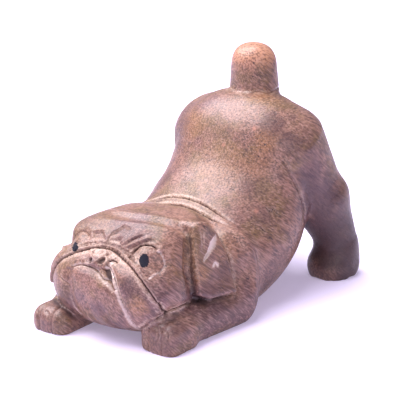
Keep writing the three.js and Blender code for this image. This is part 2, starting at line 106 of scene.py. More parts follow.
def drawn(points, steps=5):
    """A smooth line through a few points of a flat view."""
    knots = [points[0], *points, points[-1]]
    line = []
    for a, b, c, d in zip(knots, knots[1:], knots[2:], knots[3:]):
        a, b, c, d = (np.array(knot, float) for knot in (a, b, c, d))
        for i in range(steps):
            t = i / steps
            bend = (2 * a - 5 * b + 4 * c - d) * t * t + (3 * b - a - 3 * c + d) * t ** 3
            line.append(0.5 * (2 * b + (c - a) * t + bend))
    line.append(np.array(points[-1], float))
    return line


def to_line(u, v, line):
    """How far each spot is from a drawn line, and how far along it, from 0 to 1."""
    best = np.full(len(u), 1e9)
    share = np.zeros(len(u))
    last = len(line) - 1
    for i in range(last):
        (au, av), (bu, bv) = line[i], line[i + 1]
        du, dv = bu - au, bv - av
        t = np.clip(((u - au) * du + (v - av) * dv) / max(du * du + dv * dv, 1e-9), 0.0, 1.0)
        gap = np.hypot(u - au - t * du, v - av - t * dv)
        nearer = gap < best
        best = np.where(nearer, gap, best)
        share = np.where(nearer, (i + t) / last, share)
    return best, share


def to_outline(u, v, outline):
    """Signed distance to a closed outline in a flat view."""
    best = np.full(len(u), 1e9)
    inside = np.zeros(len(u), bool)
    for (au, av), (bu, bv) in zip(outline, outline[1:] + outline[:1]):
        du, dv = bu - au, bv - av
        t = np.clip(((u - au) * du + (v - av) * dv) / (du * du + dv * dv), 0.0, 1.0)
        best = np.minimum(best, np.hypot(u - au - t * du, v - av - t * dv))
        if av != bv:
            inside ^= ((av > v) != (bv > v)) & (u < au + (v - av) / dv * du)
    return np.where(inside, -best, best)


def ends(share, fade_in, fade_out):
    """Fades a stroke out over its two ends."""
    return np.clip(share / fade_in, 0.0, 1.0) * np.clip((1.0 - share) / fade_out, 0.0, 1.0)


def trunk_and_legs(p):
    """Trunk, hind legs, stump of a tail, shoulders, forearms and paws."""
    both = np.stack([np.abs(p[:, 0]), p[:, 1], p[:, 2]], 1)
    form = lump(p, (0, 10.5, 21.5), (28.3, 34, 22.5), slope=41)
    form = meld(form, lump(p, (0, -6, 15), (25.5, 18, 17)), 8)
    form = meld(form, lump(p, (0.6, 24.6, 43), (26.8, 19, 22.6), square=2.15), 8)
    thigh = limb(both, (13, 27, 45.5), (21.3, 36.6, 29), 16.3, 9.8)
    shank = limb(both, (21.8, 37.6, 27), (26.2, 42.6, 12), 9.9, 7)
    hind_foot = limb(both, (25.6, 42, 4.5), (25.3, 40.5, 3.5), 8.8, 8.4)
    form = meld(form, meld(meld(thigh, shank, 4), hind_foot, 4), 1.2)
    stump = limb(p, (-0.3, 29.5, 58), (-1.2, 29.5, 90), 9, 6.4)
    form = meld(form, shear_off(stump, p[:, 2] - 80.5, 7), 1.2)
    form = meld(form, limb(both, (17, -12, 20), (19.5, -12, 9), 10, 9), 4)
    form = meld(form, rounded_block(p, (0, -22, 5), (17, 18, 7), 3), 3)
    form = meld(form, limb(both, (20.5, -14, 6), (20, -42, 5), 9, 6.5), 3)
    left_paw = rounded_block(p, (20, -44, 4), (7, 7.5, 6), 4)
    right_paw = rounded_block(p, (-18.2, -49.5, 2.9), (7.2, 9.6, 5.1), 4.5)
    return meld(form, np.minimum(left_paw, right_paw), 3)


HEAD_PIVOT = np.array([0.0, -30.0, 10.0])
HEAD_TILT = math.radians(4)
EAR_OUTLINE = [
    (-31.5, 34.6), (-34.6, 24), (-35.2, 14), (-31, 11.6), (-19.6, 10.6),
    (-18.8, 17), (-19.2, 23.5), (-21, 29.5), (-25, 33.8),
]
EAR_VALLEY = drawn([(-33.5, 31.5), (-36.4, 24), (-37, 14.5)])


def in_head(p):
    """The same points, seen in the tilted head's own frame."""
    arm = p - HEAD_PIVOT
    c, s = math.cos(HEAD_TILT), math.sin(HEAD_TILT)
    q = arm.copy()
    q[:, 0] = arm[:, 0] * c + arm[:, 2] * s
    q[:, 2] = arm[:, 2] * c - arm[:, 0] * s
    return q + HEAD_PIVOT


def ear_height(q):
    """Height on the ear flap; the right ear hangs a little lower."""
    return q[:, 2] + 2.6 * step(-q[:, 0], 0.0, 8.0)


def ears(q):
    """The two hanging ear flaps, bent outward at their lower rear corner."""
    height = ear_height(q)
    below = 34.0 - height
    swing = 0.1 * np.clip(q[:, 1] + 32.0, 0.0, 20.0) * np.clip((below - 4.0) / 18.0, 0.0, 1.0)
    outer = 22.6 + 0.9 * step(-height, -17.0, -11.0) + 0.16 * below + swing
    flap = to_outline(q[:, 1], height, EAR_OUTLINE) - 0.3
    plate = np.abs(np.abs(q[:, 0]) - outer + 4.0) - 4.0
    return shear_off(flap, plate, 1.1)


def head_mass(q):
    """Square skull, heavy muzzle and ears."""
    flared = q.copy()
    flared[:, 0] = q[:, 0] / (1.0 - 0.0075 * (q[:, 1] + 30.0))
    form = lump(flared, (0, -30, 21), (21.5, 19.5, 15.3), square=3.4)
    form = meld(form, lump(q, (0, -43, 15.4), (24.3, 13.5, 15.4), square=2.4, slope=22), 1.4)
    form = shear_off(form, 2.2 - 0.42 * (q[:, 1] + 46.0) - q[:, 2], 4)
    form = meld(form, ears(q), 0.4)
    gap, share = to_line(q[:, 1], q[:, 2], EAR_VALLEY)
    return form + 1.5 * mound(gap / 3.0) * ends(share, 0.3, 0.3) * step(np.abs(q[:, 0]), 17, 21)


def roughed_out(p):
    """The figure before its fine carving, without the flat underside."""
    return meld(trunk_and_legs(p), head_mass(in_head(p)), 1.4)


# The knife work
# Folds, lips, eyes, ears and creases are cut into the rough figure with a small knife, which
# leaves narrow V cuts with torn, paler edges, and soft ridges between them.

EYES = [(14.9, 27.3, 4.2), (-10.9, 28.5, 4.0)]
LEFT_LID = drawn([(10.4, 28.4), (12.1, 30.6), (13.9, 31.3), (16.1, 31.1), (18.3, 30.0)])
LEFT_RIM = drawn([(18.3, 30.0), (19.7, 27.2), (20.1, 24.8), (19.4, 23.3)])
RIGHT_LID = drawn([(-14.6, 28.0), (-13.9, 30.3), (-12.7, 31.7), (-11.1, 32.4), (-8.8, 32.0), (-6.5, 30.8)])
FOLD_GROOVE = drawn([
    (-21.6, 9.5), (-20.8, 16.5), (-17.3, 22.3), (-12, 26.1), (-5.5, 28.5), (0.6, 29.3),
    (6.5, 28.5), (12.9, 25.9), (18.2, 21.4), (21, 16.3), (21.7, 9.8),
])
FOLD_TOP = drawn([
    (-23.2, 17), (-19.5, 22.8), (-13.5, 27.2), (-6.5, 29.9), (0.8, 30.9),
    (7.5, 29.9), (14.5, 26.9), (19.5, 23.1), (23.3, 17.5),
])
FOLD_CREST = drawn([
    (-22.5, 15.2), (-18.8, 22.2), (-13, 26.5), (-6.1, 29.1), (0.7, 30.1),
    (7.1, 29.1), (14, 26.3), (19, 22), (22.2, 15.7),
])
UNDER_FOLD = [tuple(spot) for spot in FOLD_CREST] + [(22.2, -20.0), (-22.5, -20.0)]
FOLD_LINES = [
    drawn([(-8.6, 28.3), (-4.9, 29.7), (0.4, 30.0), (5.4, 29.4), (10.3, 28.0), (14.4, 25.8)]),
    drawn([(-16.5, 23.9), (-12.4, 27.1), (-8.9, 28.9), (-5.2, 30.1), (-1.5, 30.4)]),
    drawn([(12.2, 27.3), (15.6, 25.2), (18.7, 22.6), (21.0, 19.2)]),
]
LEFT_LIP = drawn([(4.9, 26.2), (7.9, 23.6), (10, 20), (11.4, 15.8), (12.1, 10.5), (12, 5.5), (11, 1.5)])
RIGHT_LIP = drawn([(-8.9, 23.5), (-8.7, 20.7), (-8.6, 16.7), (-9.1, 12.3), (-9, 9.6), (-8, 6.2)])
RIGHT_CREASE = drawn([(-13.9, 21), (-12, 19.6), (-10.4, 18.8), (-8.6, 17.6)])
RIGHT_HEM = drawn([(-19.1, 9.3), (-16.4, 9.2), (-13.7, 8.6), (-11.3, 5.9)])
CHIN_TOP = drawn([(-8.7, 23.5), (-5.3, 24.7), (-0.7, 24.7), (2.2, 23.8), (5, 22), (7.4, 20.9), (9.2, 18.8)])
NOSE_CORNER = [(3.6, 25.0), (5.9, 25.2), (7.6, 23.0), (8.6, 19.8), (6.3, 21.6)]
NOSE_SIDE = drawn([(4.9, 26.7), (6.4, 27.0), (8.3, 26.7)])
NOSE_RIMS = [
    drawn([(-4.6, 27.4), (-3.3, 28.2), (-1.7, 27.8), (-0.5, 27.3)]),
    drawn([(0.9, 26.2), (2.0, 27.9), (3.6, 28.1), (4.6, 27.2), (4.0, 26.0)]),
    drawn([(-4.0, 26.2), (-2.6, 25.7), (-0.4, 26.0), (1.8, 25.7)]),
]
FROWN_LINES = [
    drawn([(6.0, 30.9), (9.1, 33.2), (11.3, 34.2), (13.6, 34.5)]),
    drawn([(6.9, 30.6), (10.7, 32.1), (13.2, 33.1), (14.5, 34.0)]),
]
FROWN_CUTS = [
    drawn([(8.6, 29.2), (11.8, 31.5), (14.3, 32.6), (17.1, 32.4)]),
    drawn([(6.5, 30.7), (9.9, 32.6), (12.4, 33.7)]),
]
BROW_NOTCHES = [
    [(0.6, 32.2), (0.8, 33.5), (3.4, 35.2), (6.0, 34.7), (3.7, 33.0)],
    [(-6.5, 32.9), (-3.1, 33.5), (-0.7, 31.3), (-5.6, 30.9)],
    [(0.4, 31.8), (5.4, 32.7), (4.9, 30.9), (0.4, 31.1)],
]
FLEW_HEM = drawn([(12, 4.4), (14.4, 6.2), (16.8, 7.9), (18.8, 9.5), (21.6, 10)])
JAW_EDGE = drawn([(-49.8, 9.6), (-48, 11), (-45.7, 12), (-41.5, 11.9), (-37.1, 11.2), (-34.4, 9.7)])
EAR_FRONT = drawn([(-32.4, 31.5), (-33.9, 25.2), (-34.5, 21.5), (-34.9, 16.5)])
EAR_REAR = drawn([(-24.5, 34.0), (-20.4, 29.5), (-18.5, 23.5), (-18.1, 17), (-18.9, 11.2)])
EAR_HEM = drawn([(-32.5, 11.5), (-30.6, 10.6), (-25, 9.9), (-19.2, 9.6)])
EAR_NICK = drawn([(-22, 29.7), (-26.1, 26.4), (-31.2, 23.2)])
EAR_TICK = drawn([(-26.9, 20.7), (-25.7, 21.5), (-24.8, 20.4)])
EAR_CREASE = drawn([(-29.1, 32.8), (-29.2, 29.4), (-30.2, 26.5)])
SHOULDER_RIM = drawn([(-11, 30.8), (-10.6, 26), (-9.6, 20), (-9.8, 14), (-12.5, 8)])
EAR_SCOOP = drawn([(-15.5, 29), (-14.8, 24), (-14, 18), (-14.5, 13)])
FLANK_CUT = drawn([(12.6, 49.5), (14.6, 43.5), (17.2, 37), (20, 30.5), (23.4, 23.5)])
FLANK_HOLLOW = drawn([(17.5, 49.5), (19.4, 43.5), (21.6, 37), (24.3, 30.5)])
SCRATCHES = [
    drawn([(3.4, 33.6), (4.9, 31.4)]),
    drawn([(5.0, 33.2), (7.4, 30.2)]),
    drawn([(-1, 28), (0.6, 26)]),
]
NAILS = [
    drawn([(18.6, 9.0), (20.6, 8.6), (21.6, 6.6), (21.0, 4.4)]),
    drawn([(22.4, 8.8), (24.6, 7.8), (25.0, 5.6)]),
    drawn([(-23.4, 6.4), (-21.8, 6.0), (-21.4, 3.8)]),
    drawn([(-19.6, 6.8), (-17.4, 6.4), (-16.8, 4.2)]),
]
PAW_FRONTS = [((20.0, -51.5), 7.0), ((-18.2, -59.1), 7.2)]


class Knife:
    """Keeps, for every point, how deep it is cut, what the cutting left on it, and the painted shade in its
    cuts.
    """

    def __init__(self, grit):
        self.grit = grit
        self.depth = np.zeros(len(grit))
        self.cut = np.zeros(len(grit))
        self.edge = np.zeros(len(grit))
        self.bare = np.zeros(len(grit))

    def slit(self, gap, depth, width, where, lip=0.55, shade_and_stain=1.0, torn=0.8):
        """A narrow V cut with ragged walls, darkened inside with stain and painted shade, and torn pale
        along its lips.
        """
        gap = gap + 0.2 * self.grit
        inside = np.clip(1.0 - np.abs(gap) / width, 0.0, 1.0) * where
        self.depth += depth * inside
        # The cut mark darkens the inside of the cut: stain and painted shade
        self.cut = np.maximum(self.cut, shade_and_stain * inside)
        self.edge = np.maximum(self.edge, torn * mound((gap - width) / lip) * where)

    def bare_line(self, gap, width, where):
        """Freshly bared pale wood along a line, ragged."""
        gap = gap + 0.28 * self.grit
        self.bare = np.maximum(self.bare, np.clip(1.4 - 1.4 * gap / width, 0.0, 1.0) * where)

    def gouge(self, depth, shape):
        """A soft hollow, or a soft ridge where depth is below 0."""
        self.depth += depth * shape


FRONT_OF_HEAD = (36.0, 40.0)
CHIN_FLUTES = (-1.6, 4.6)
FLEWS = (15.6, -13.8)
NOSTRILS = ((-1.3, 26.6), (2.9, 27.0))


def carve_fold_and_lips(knife, x, z, front):
    """The fold over the nose, the lips, the chin's upper edge and the hem of the flews."""
    gap, share = to_line(x, z, FOLD_CREST)
    knife.gouge(-0.95, mound(gap / 2.0) * front * ends(share, 0.01, 0.01))
    gap, share = to_line(x, z, FOLD_GROOVE)
    knife.gouge(0.45, mound(gap / 2.6) * front * ends(share, 0.02, 0.02))
    knife.slit(gap, 1.15, 0.75, front * ends(share, 0.25, 0.02), lip=0.5, shade_and_stain=0.85, torn=0.75)
    gap, share = to_line(x, z, FOLD_TOP)
    knife.slit(gap, 0.6, 0.55, front * ends(share, 0.45, 0.3), lip=0.4, shade_and_stain=0.55, torn=0.5)
    for line in FOLD_LINES:
        gap, share = to_line(x, z, line)
        knife.slit(gap, 0.35, 0.4, front * ends(share, 0.3, 0.3), lip=0.3, shade_and_stain=0.45, torn=0.5)
    gap, share = to_line(x, z, LEFT_LIP)
    knife.slit(gap, 1.0, 0.7, front * ends(share, 0.06, 0.02), lip=0.5, torn=0.7, shade_and_stain=0.45)
    knife.bare_line(np.abs(gap - 0.45), 0.38, 0.65 * front * ends(share, 0.03, 0.02))
    knife.gouge(0.5, mound(gap / 2.4) * front * ends(share, 0.06, 0.02))
    gap, share = to_line(x, z, RIGHT_LIP)
    knife.slit(gap, 0.5, 0.55, front * ends(share, 0.2, 0.1) * step(share, 0.3, 0.7), lip=0.4, shade_and_stain=0.4)
    knife.gouge(0.8, mound(gap / 2.8) * front * ends(share, 0.05, 0.1))
    gap, share = to_line(x, z, RIGHT_CREASE)
    knife.slit(gap, 0.4, 0.5, front * ends(share, 0.3, 0.3), lip=0.4, shade_and_stain=0.5, torn=0.4)
    gap, share = to_line(x, z, RIGHT_HEM)
    knife.slit(gap, 0.5, 0.6, front * ends(share, 0.2, 0.2), lip=0.4, torn=0.6)
    gap, share = to_line(x, z, CHIN_TOP)
    knife.slit(gap, 0.8, 0.65, front * ends(share, 0.05, 0.02), lip=0.5, torn=0.5, shade_and_stain=0.4)
    knife.bare_line(np.abs(gap - 0.45), 0.3, 0.3 * front * ends(share, 0.05, 0.05))
    knife.gouge(0.5, mound(gap / 2.0) * front * ends(share, 0.05, 0.02))
    gap, share = to_line(x, z, FLEW_HEM)
    knife.slit(gap, 0.8, 0.7, front * ends(share, 0.1, 0.1), torn=1.0, shade_and_stain=0.35)


def carve_step_over_fold(knife, x, z, front, over_fold):
    """Beyond the right eye the wood over the fold is cut away, so the fold stands out as a step."""
    on_right = step(-x, 13.5, 20.0) * step(34.0 - z, 0.0, 8.0) * front
    knife.gouge(3.9, step(over_fold, 0.0, 3.2) * on_right)


def carve_chin_and_nose(knife, x, z, front):
    """The corner beside the nose, the bulging chin with its flutes, the flews and the nose."""
    corner = to_outline(x, z, NOSE_CORNER)
    knife.gouge(1.2, step(-corner, -0.5, 0.5) * front)
    # Painted shade in the corner beside the nose
    knife.cut = np.maximum(knife.cut, 0.8 * step(-corner, -0.2, 0.4) * front)
    knife.gouge(-1.3, mound((x - 1.5) / 11.5) * mound((z - 12.0) / 13.0) * front)
    for flute in CHIN_FLUTES:
        across = x - flute + 0.12 * (z - 12.0)
        knife.gouge(0.85, mound(across / 1.7) * mound((z - 8.0) / 9.0) * front)
    for flew in FLEWS:
        knife.gouge(-0.9, mound((x - flew) / 6.0) * mound((z - 15.0) / 9.0) * front)
    knife.gouge(-1.2, mound((x - 0.9) / 5.0) * mound((z - 27.0) / 2.6) * front)
    for across, up in NOSTRILS:
        hole = np.hypot((x - across) / 1.4, (z - up) / 1.0)
        knife.gouge(1.1, mound(hole) * front)
        # Painted shade in the nostrils
        knife.cut = np.maximum(knife.cut, mound(hole) * front)
    gap, share = to_line(x, z, NOSE_SIDE)
    knife.slit(gap, 1.1, 0.7, front * ends(share, 0.1, 0.3), lip=0.3)
    for rim in NOSE_RIMS:
        gap, share = to_line(x, z, rim)
        knife.gouge(-0.4, mound(gap / 0.7) * front * ends(share, 0.2, 0.2))
        knife.edge = np.maximum(knife.edge, 0.8 * mound(gap / 0.6) * front * ends(share, 0.2, 0.2))


def carve_eyes_and_frown(knife, x, z, front, over_fold):
    """The eyeballs, their lids and rims, and the frown between the eyes."""
    for across, up, reach in EYES:
        ball = mound(np.hypot(x - across, z - up) / reach)
        knife.gouge(-0.7, ball * step(over_fold, 0.0, 1.0) * front)
    above = step(over_fold, 0.2, 1.0) * front
    for line, deep, dark in ((LEFT_LID, 1.0, 1.0), (RIGHT_LID, 0.7, 0.4), (LEFT_RIM, 0.5, 0.0)):
        gap, share = to_line(x, z, line)
        fade = above * ends(share, 0.12, 0.15)
        knife.slit(gap, deep, 0.6, fade, lip=0.4, shade_and_stain=dark, torn=0.7 * dark)
        knife.gouge(0.45, mound(gap / 1.9) * fade)
    knife.bare_line(to_line(x, z, LEFT_RIM)[0], 0.4, 0.5 * above)
    for line in FROWN_LINES:
        gap, share = to_line(x, z, line)
        knife.gouge(-0.55, mound(gap / 0.9) * front * ends(share, 0.15, 0.3))
        knife.edge = np.maximum(knife.edge, 0.35 * mound(gap / 0.5) * front * ends(share, 0.2, 0.2))
    for line in FROWN_CUTS:
        gap, share = to_line(x, z, line)
        knife.slit(gap, 0.5, 0.7, front * ends(share, 0.2, 0.3), lip=0.4, shade_and_stain=0.4, torn=0.2)
    for notch in BROW_NOTCHES:
        gap = to_outline(x, z, notch)
        knife.gouge(0.9, step(-gap, -0.5, 0.5) * front)
        # Painted shade on the notch's sunken facet
        knife.cut = np.maximum(knife.cut, 0.22 * step(-gap, -0.2, 0.4) * front)
        knife.edge = np.maximum(knife.edge, 0.6 * mound((gap + 0.1) / 0.45) * front)


def carve_face(knife, q):
    """All the carving on the front of the head."""
    x, y, z = q.T
    front = step(-y, *FRONT_OF_HEAD)
    gap, _ = to_line(x, z, FOLD_CREST)
    over_fold = gap * np.sign(to_outline(x, z, UNDER_FOLD))
    carve_fold_and_lips(knife, x, z, front)
    carve_step_over_fold(knife, x, z, front, over_fold)
    carve_chin_and_nose(knife, x, z, front)
    carve_eyes_and_frown(knife, x, z, front, over_fold)


BROW_BANDS = (-41.5, -34.0)
BROW_HOLLOW = -37.8


def carve_brow_and_ears(knife, q):
    """Two bands across the top of the head, and the nick and crease in each ear."""
    x, y, z = q.T
    top = step(z, 29.0, 33.0) * step(x, -14.0, -4.0)
    bowed = y - 0.012 * x * x
    for band in BROW_BANDS:
        knife.gouge(-0.75, mound((bowed - band) / 2.4) * top)
    knife.gouge(0.7, mound((bowed - BROW_HOLLOW) / 3.2) * top)
    on_ear = step(np.abs(x), 18.0, 21.0)
    height = ear_height(q)
    gap, share = to_line(y, height, EAR_NICK)
    wide = 1.3 * ends(share, 0.35, 0.6) + 0.1
    knife.slit(gap, 0.9, wide, on_ear * ends(share, 0.1, 0.1), lip=0.3, shade_and_stain=0.0)
    knife.bare_line(gap, wide + 0.15, on_ear * ends(share, 0.1, 0.1))
    gap, share = to_line(y, height, EAR_CREASE)
    knife.slit(gap, 0.4, 0.5, on_ear * ends(share, 0.3, 0.3), lip=0.3, shade_and_stain=0.0, torn=1.0)
    gap, share = to_line(y, height, EAR_TICK)
    knife.slit(gap, 0.4, 0.35, on_ear, lip=0.3, shade_and_stain=0.0, torn=1.0)
    knife.bare_line(gap, 0.45, 0.9 * on_ear)
    gap, share = to_line(y, height, EAR_FRONT)
    knife.slit(gap, 0.6, 0.6, on_ear * ends(share, 0.3, 0.2), lip=0.4, shade_and_stain=0.45, torn=0.3)
    gap, share = to_line(y, z, JAW_EDGE)
    beside = step(np.abs(x), 17.0, 20.0)
    knife.slit(gap, 0.8, 0.6, beside * ends(share, 0.1, 0.2), shade_and_stain=0.6, torn=0.9)
    knife.gouge(0.5, mound(gap / 2.6) * beside * ends(share, 0.1, 0.2))


NECK_CUTS = (-8.6, -11.3)
TAIL_MIDDLE = (-0.4, 29.5)
TAIL_RADIUS = 8.6
TAIL_FOOT = 65.2


def carve_body(knife, p):
    """Neck cuts, the shoulder's rim, toes, flank and the cut round the tail."""
    x, y, z = p.T
    q = in_head(p)
    beside_head = step(np.abs(x), 18.0, 21.0)
    for line, deep in ((EAR_REAR, 1.3), (EAR_HEM, 0.9)):
        gap, share = to_line(q[:, 1], ear_height(q), line)
        knife.slit(gap, deep, 0.9, beside_head * ends(share, 0.15, 0.1), lip=0.5, shade_and_stain=0.8, torn=0.5)
        knife.gouge(0.4, mound(gap / 2.4) * beside_head * ends(share, 0.15, 0.1))
    neck = step(z, 26.0, 30.0) * mound((x + 1.0) / 24.0)
    for at in NECK_CUTS:
        knife.slit(np.abs(y - at), 0.95, 0.62, np.minimum(1.0, 2.0 * neck), lip=0.4)
    side = step(np.abs(x), 12.0, 17.0)
    gap, share = to_line(y, z, SHOULDER_RIM)
    knife.gouge(-0.85, mound(gap / 3.0) * ends(share, 0.2, 0.15) * side)
    gap, share = to_line(y, z, EAR_SCOOP)
    knife.gouge(0.8, mound(gap / 4.2) * ends(share, 0.2, 0.3) * side)
    gap, share = to_line(y, z, FLANK_CUT)
    knife.gouge(0.5, mound(gap / 3.0) * ends(share, 0.35, 0.05) * side)
    knife.slit(gap, 0.7, 0.9, ends(share, 0.4, 0.15) * side, lip=0.4, shade_and_stain=0.5, torn=0.45)
    gap, share = to_line(y, z, FLANK_HOLLOW)
    knife.gouge(1.0, mound(gap / 4.5) * ends(share, 0.35, 0.2) * side)
    for (across, tip), half in PAW_FRONTS:
        over = step(tip + 7.0 - y, 0.0, 3.5) * step(z, -1.0, 2.0) * step(10.0 - z, 0.0, 2.0)
        toes = np.abs(np.abs(x - across) - 2.5)
        near_toes = over * step(half - np.abs(x - across), 0.0, 1.0)
        knife.slit(toes, 0.3, 0.6, near_toes, lip=0.4, shade_and_stain=0.25, torn=0.15)
        knife.gouge(0.35, mound(toes / 1.3) * near_toes)
    for line in NAILS:
        gap, share = to_line(x, z, line)
        on_paw = step(-y, 47.0, 50.0) * step(10.0 - z, 0.0, 2.0) * ends(share, 0.2, 0.2)
        knife.slit(gap, 0.45, 0.5, on_paw, lip=0.35, shade_and_stain=0.5, torn=0.3)
    for line in SCRATCHES:
        gap, share = to_line(y, z, line)
        knife.slit(gap, 0.3, 0.32, step(x, 12.0, 17.0) * ends(share, 0.3, 0.3), lip=0.3, torn=0.3)
    round_tail = np.hypot(x - TAIL_MIDDLE[0], y - TAIL_MIDDLE[1]) - TAIL_RADIUS
    wavy = z - TAIL_FOOT - 0.35 * np.sin(x * 0.9 + y * 0.4)
    knife.slit(np.abs(wavy), 0.35, 0.5, mound(round_tail / 2.5), lip=0.35, shade_and_stain=0.5, torn=0.5)


def grit_at(p, size):
    """Fine random unevenness, the same on every run."""
    return np.array([noise.noise(Vector(spot)) for spot in (p / size).tolist()])


def knife_work(p):
    """Everything the knife does at these points of the rough surface."""
    knife = Knife(grit_at(p, 0.7))
    q = in_head(p)
    head = head_mass(q) < trunk_and_legs(p) + 0.4
    face = Knife(knife.grit[head])
    carve_face(face, q[head])
    carve_brow_and_ears(face, q[head])
    carve_body(knife, p)
    knife.depth[head] += face.depth
    knife.cut[head] = np.maximum(knife.cut[head], face.cut)
    knife.edge[head] = np.maximum(knife.edge[head], face.edge)
    knife.bare[head] = np.maximum(knife.bare[head], face.bare)
    return knife


# The finished figure
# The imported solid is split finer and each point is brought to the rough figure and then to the
# bottom of its cuts, so that the narrow V cuts, lips and nicks are there as real shape.


def split_edges(points, triangles, chosen):
    """Puts a point in the middle of each chosen edge and splits the triangles to suit."""
    pairs = np.sort(np.stack([triangles, np.roll(triangles, -1, 1)], 2).reshape(-1, 2), 1)
    edges, which = np.unique(pairs, axis=0, return_inverse=True)
    which = which.reshape(-1, 3)
    wanted = chosen(points[edges[:, 0]], points[edges[:, 1]])
    number = np.full(len(edges), -1)
    number[wanted] = len(points) + np.arange(wanted.sum())
    middles = (points[edges[wanted, 0]] + points[edges[wanted, 1]]) / 2.0
    mid = number[which]
    count = (mid >= 0).sum(1)
    parts = [triangles[count == 0]]
    t, m = triangles[count == 3], mid[count == 3]
    parts += [
        np.stack([t[:, 0], m[:, 0], m[:, 2]], 1),
        np.stack([m[:, 0], t[:, 1], m[:, 1]], 1),
        np.stack([m[:, 2], m[:, 1], t[:, 2]], 1),
        m,
    ]
    for first in range(3):
        order = [first, (first + 1) % 3, (first + 2) % 3]
        t, m = triangles[:, order], mid[:, order]
        one = (count == 1) & (m[:, 0] >= 0)
        parts += [
            np.stack([t[one, 0], m[one, 0], t[one, 2]], 1),
            np.stack([m[one, 0], t[one, 1], t[one, 2]], 1),
        ]
        two = (count == 2) & (m[:, 2] < 0)
        parts += [
            np.stack([m[two, 0], t[two, 1], m[two, 1]], 1),
            np.stack([t[two, 0], m[two, 0], m[two, 1]], 1),
            np.stack([t[two, 0], m[two, 1], t[two, 2]], 1),
        ]
    return np.concatenate([points, middles]), np.concatenate(parts)


def outward(p):
    """Straight out of the rough figure, and the distance from it."""
    here = roughed_out(p)
    slope = np.stack([roughed_out(p + 0.1 * axis) - here for axis in np.eye(3)], 1)
    return slope / np.maximum(1e-9, np.sqrt((slope ** 2).sum(1)))[:, None], here


def settle(p, grounded):
    """Brings points onto the rough figure; those on the ground stay on it."""
    for _ in range(3):
        out, gap = outward(p)
        p = np.where(grounded[:, None], p, p - np.clip(gap, -1.5, 1.5)[:, None] * out)
        p[:, 2] = np.where(grounded, 0.0, np.maximum(p[:, 2], 0.0))
    return p


def even_out(p, triangles, grounded, passes):
    """Spreads the points evenly along the surface."""
    pairs = np.sort(np.stack([triangles, np.roll(triangles, -1, 1)], 2).reshape(-1, 2), 1)
    edges = np.unique(pairs, axis=0)
    rim = grounded & (np.bincount(edges[:, 0], ~grounded[edges[:, 1]], len(p))
                      + np.bincount(edges[:, 1], ~grounded[edges[:, 0]], len(p)) > 0)
    for _ in range(passes):
        total = np.zeros_like(p)
        number = np.bincount(edges.ravel(), minlength=len(p))
        for axis in range(3):
            total[:, axis] = np.bincount(edges[:, 0], p[edges[:, 1], axis], len(p))
            total[:, axis] += np.bincount(edges[:, 1], p[edges[:, 0], axis], len(p))
        shift = total / number[:, None] - p
        out, _ = outward(p)
        shift -= (shift * out).sum(1)[:, None] * out * ~grounded[:, None]
        shift[rim] = 0.0
        p = settle(p + 0.5 * shift, grounded)
    return p


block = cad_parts["dog"].data
points = np.array([vertex.co for vertex in block.vertices])
points = points * MM_PER_METRE - CARVER_TO_FRAME
points, same = np.unique(np.round(points, 4), axis=0, return_inverse=True)
triangles = same.reshape(-1)[np.array([face.vertices for face in block.polygons])]
grounded = points[:, 2] < 0.01
for _ in range(2):
    points, triangles = split_edges(points, triangles, lambda a, b: np.ones(len(a), bool))
    grounded = points[:, 2] < 0.01
    points = even_out(settle(points, grounded), triangles, grounded, 2)


FINEST_EDGE = 0.36
FAINTEST_MARK = 0.05
PAINTED_SPOTS = [(16.0, 27.5), (-10.5, 28.5)]
PAINT_REACH = 3.5
FACE_FRONT = -40.0


def near_a_cut(a, b):
    """Longer edges that lie in or beside a narrow cut or on a pupil."""
    middle = (a + b) / 2.0
    knife = knife_work(middle)
    seen = in_head(middle)
    paint = np.min([np.hypot(seen[:, 0] - across, seen[:, 2] - up) for across, up in PAINTED_SPOTS], 0)
    marked = np.maximum(np.maximum(knife.cut, knife.edge), knife.bare)
    wanted = (marked > FAINTEST_MARK) | ((paint < PAINT_REACH) & (seen[:, 1] < FACE_FRONT))
    return (np.sqrt(((a - b) ** 2).sum(1)) > FINEST_EDGE) & wanted


points, triangles = split_edges(points, triangles, near_a_cut)
grounded = points[:, 2] < 0.01
points = settle(points, grounded)
out, _ = outward(points)
carved = points
for _ in range(2):
    knife = knife_work(carved)
    carved = points - np.where(grounded, 0.0, knife.depth)[:, None] * out
RASP_WAVES = [(0.09, 7.0), (0.035, 2.2)]
waver = sum(height * grit_at(points, size) for height, size in RASP_WAVES)
carved = carved + np.where(grounded, 0.0, waver)[:, None] * out
carved[:, 2] = np.maximum(carved[:, 2], 0.0)

# How closed in each point is, for painted shade: the more closed in, the darker the colour
closed_in = np.zeros(len(points))
FEELERS = (2.0, 4.0, 8.0)
for reach in FEELERS:
    closed_in += np.clip(1.0 - roughed_out(carved + reach * out) / reach, 0.0, 1.0) / len(FEELERS)

# The pupils are dots painted with the brush held from the dog's front left; below 0 is paint
BRUSH_ACROSS = np.array([0.80, 0.60, 0.0])
BRUSH_UP = np.array([-0.19, 0.25, 0.95])
PUPILS = [((15.8, 27.6), (1.5, 2.1)), ((-10.5, 28.6), (0.95, 1.5))]
SAME_EYE = 5.0
seen = in_head(carved)
pupils = np.full(len(points), 3.0)
for (across, up), (half_wide, half_high) in PUPILS:
    behind = 100.0 * (seen[:, 1] > FACE_FRONT)
    middle = carved[np.argmin(np.hypot(seen[:, 0] - across, seen[:, 2] - up) + behind)]
    off = np.hypot((carved - middle) @ BRUSH_ACROSS / half_wide, (carved - middle) @ BRUSH_UP / half_high)
    far = np.sqrt(((carved - middle) ** 2).sum(1)) > SAME_EYE
    pupils = np.minimum(pupils, (off - 1.0) * half_wide + 3.0 * far)
